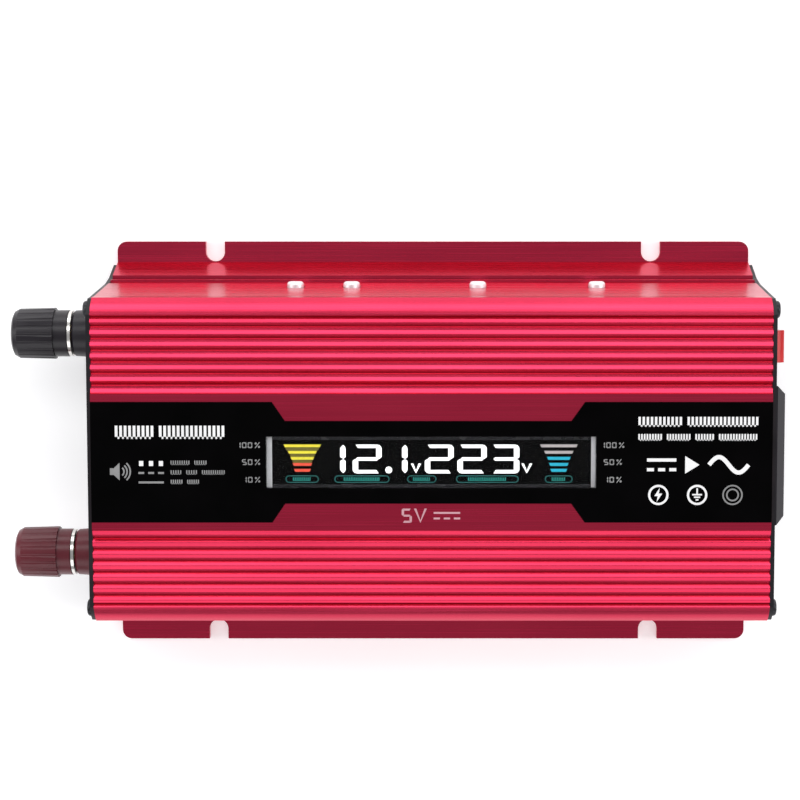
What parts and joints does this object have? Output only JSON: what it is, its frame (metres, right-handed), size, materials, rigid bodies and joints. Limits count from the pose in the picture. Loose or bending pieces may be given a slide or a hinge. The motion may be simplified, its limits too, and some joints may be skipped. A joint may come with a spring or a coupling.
{
  "type": "power inverter",
  "caption": "Flanged, ribbed aluminium power inverter with a lit display strip, two clamp terminals, a fan, a mains outlet, a rocker switch and a USB port.",
  "frame": {"origin": "centre of the base's underside, which is the face it rests on or is fixed by", "axes": "+X towards the outlet end, -X towards the supply terminals, +Z towards the display face, +Y towards the side with the switch and the negative terminal"},
  "size_m": [0.2345, 0.1276, 0.0584],
  "materials": {
    "anodised_red": "red anodised, satin",
    "panel_black": "fine black powder coat",
    "screw_black": "black oxide",
    "screw_bright": "bright zinc",
    "label_black": "gloss overlay",
    "window_clear": "clear acrylic",
    "lcd_dark": "dark negative display",
    "backlight_white": "milky light guide",
    "plastic_black": "moulded",
    "plastic_wine": "moulded",
    "rocker_red": "gloss",
    "brass": "machined",
    "nickel": "nickel plated",
    "tinned": "tinned",
    "copper": "enamelled",
    "steel_plain": "plain",
    "wire_red": "soft insulation",
    "wire_black": "soft insulation",
    "circuit_green": "solder mask",
    "ribbon_grey": "flat cable",
    "ferrite": "sintered",
    "can_sleeve": "shrink sleeve",
    "device_black": "moulded epoxy",
    "pad_grey": "silicone",
    "fuse_orange": "clear-tinted"
  },
  "bodies": {
    "chassis": {"base_tray": "anodised_red", "top_cover": "anodised_red", "dc_end_panel": "panel_black", "ac_end_panel": "panel_black", "dc_panel_screws": "screw_black", "ac_panel_screws": "screw_black", "side_clamp_screws": "screw_bright", "face_label": "label_black", "display_window": "window_clear", "display_frame": "plastic_black", "lcd_panel": "lcd_dark", "backlight_plate": "backlight_white", "display_board": "circuit_green", "display_cable": "ribbon_grey", "negative_terminal_bush": "plastic_black", "negative_terminal_stud": "brass", "positive_terminal_bush": "plastic_wine", "positive_terminal_stud": "brass", "terminal_nuts": "brass", "terminal_lugs": "tinned", "negative_supply_wire": "wire_black", "positive_supply_wire": "wire_red", "fan_frame": "plastic_black", "fan_bearing": "brass", "fan_stator": "copper", "fan_screws": "screw_black", "fan_lead": "wire_red", "socket_housing": "plastic_black", "socket_contacts": "brass", "socket_wires": "wire_black", "switch_housing": "plastic_black", "switch_tabs": "brass", "switch_wires": "wire_black", "usb_shell": "nickel", "usb_tongue": "plastic_black", "usb_board": "circuit_green", "usb_wires": "wire_red", "main_board": "circuit_green", "board_standoffs": "brass", "board_screws": "screw_bright", "transformer_cores": "ferrite", "transformer_bobbins": "plastic_black", "transformer_windings": "copper", "input_capacitors": "can_sleeve", "bus_capacitor": "can_sleeve", "low_voltage_mosfets": "device_black", "high_voltage_mosfets": "device_black", "insulating_pads": "pad_grey", "clamp_bars": "steel_plain", "blade_fuses": "fuse_orange", "output_choke": "copper", "driver_board": "circuit_green", "buzzer": "device_black"},
    "fan_rotor": {"fan_rotor": "plastic_black", "fan_shaft": "steel_plain"},
    "switch_rocker": {"switch_rocker": "rocker_red"},
    "negative_washer": {"negative_clamp_washer": "nickel"},
    "negative_knob": {"negative_knob": "plastic_black"},
    "positive_washer": {"positive_clamp_washer": "nickel"},
    "positive_knob": {"positive_knob": "plastic_wine"}
  },
  "joints": [
    {"name": "fan_spin", "type": "hinge", "parent": "chassis", "child": "fan_rotor", "pos_m": [-0.095, 0, 0.0285], "axis": [1, 0, 0], "continuous": true},
    {"name": "rocker_tilt", "type": "hinge", "parent": "chassis", "child": "switch_rocker", "pos_m": [0.1007, 0.0326, 0.0285], "axis": [0, 1, 0], "range_deg": [0, 20]},
    {"name": "negative_washer_slide", "type": "slide", "parent": "chassis", "child": "negative_washer", "axis": [-1, 0, 0], "range_m": [0, 0.006]},
    {"name": "negative_knob_turn", "type": "hinge", "parent": "negative_washer", "child": "negative_knob", "pos_m": [-0.115, 0.0362, 0.0285], "axis": [-1, 0, 0], "range_deg": [0, 2160]},
    {"name": "positive_washer_slide", "type": "slide", "parent": "chassis", "child": "positive_washer", "axis": [-1, 0, 0], "range_m": [0, 0.006]},
    {"name": "positive_knob_turn", "type": "hinge", "parent": "positive_washer", "child": "positive_knob", "pos_m": [-0.115, -0.03125, 0.0285], "axis": [-1, 0, 0], "range_deg": [0, 2160]}
  ],
  "couplings": [
    {"joint": "negative_washer_slide", "follows": "negative_knob_turn", "m_per_rad": 0.00015915},
    {"joint": "positive_washer_slide", "follows": "positive_knob_turn", "m_per_rad": 0.00015915}
  ]
}
